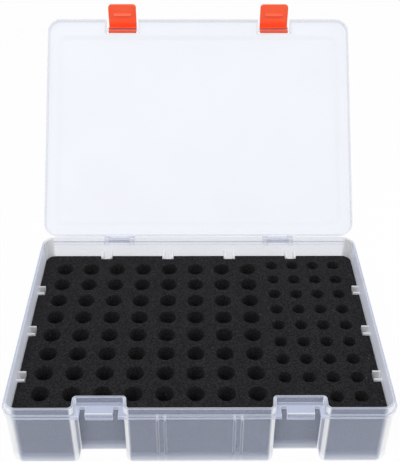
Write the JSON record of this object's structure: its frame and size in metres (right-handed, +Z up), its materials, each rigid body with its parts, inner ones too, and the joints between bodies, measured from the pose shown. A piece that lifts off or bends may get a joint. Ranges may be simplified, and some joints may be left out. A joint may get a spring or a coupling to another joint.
{
  "type": "battery storage case",
  "caption": "Flat translucent storage case with a hinged lid, two clip latches in front recesses and a black foam insert drilled with rows of round sockets in two sizes.",
  "frame": {"origin": "centre of the underside, on the surface that the case stands on", "axes": "+X to the right seen from the front, +Y from the latches to the hinge, +Z up"},
  "size_m": [0.282, 0.3564, 0.2179],
  "materials": {
    "clear_plastic": "translucent, slightly frosted",
    "latch_plastic": "satin orange",
    "foam": "matt black closed-cell foam"
  },
  "bodies": {
    "case": {"case_body": "clear_plastic", "foam_insert": "foam", "foam_base_pad": "foam"},
    "lid": {"lid": "clear_plastic"},
    "latch_left": {"latch_left": "latch_plastic"},
    "latch_right": {"latch_right": "latch_plastic"}
  },
  "joints": [
    {"name": "lid_hinge", "type": "hinge", "parent": "case", "child": "lid", "pos_m": [0, 0.1061, 0.0526], "axis": [1, 0, 0], "range_deg": [0, 132.5]},
    {"name": "latch_left_hinge", "type": "hinge", "parent": "lid", "child": "latch_left", "pos_m": [-0.0715, 0.24476, 0.196], "axis": [1, 0, 0], "range_deg": [-45, 48]},
    {"name": "latch_right_hinge", "type": "hinge", "parent": "lid", "child": "latch_right", "pos_m": [0.0715, 0.24476, 0.196], "axis": [1, 0, 0], "range_deg": [-45, 48]}
  ]
}
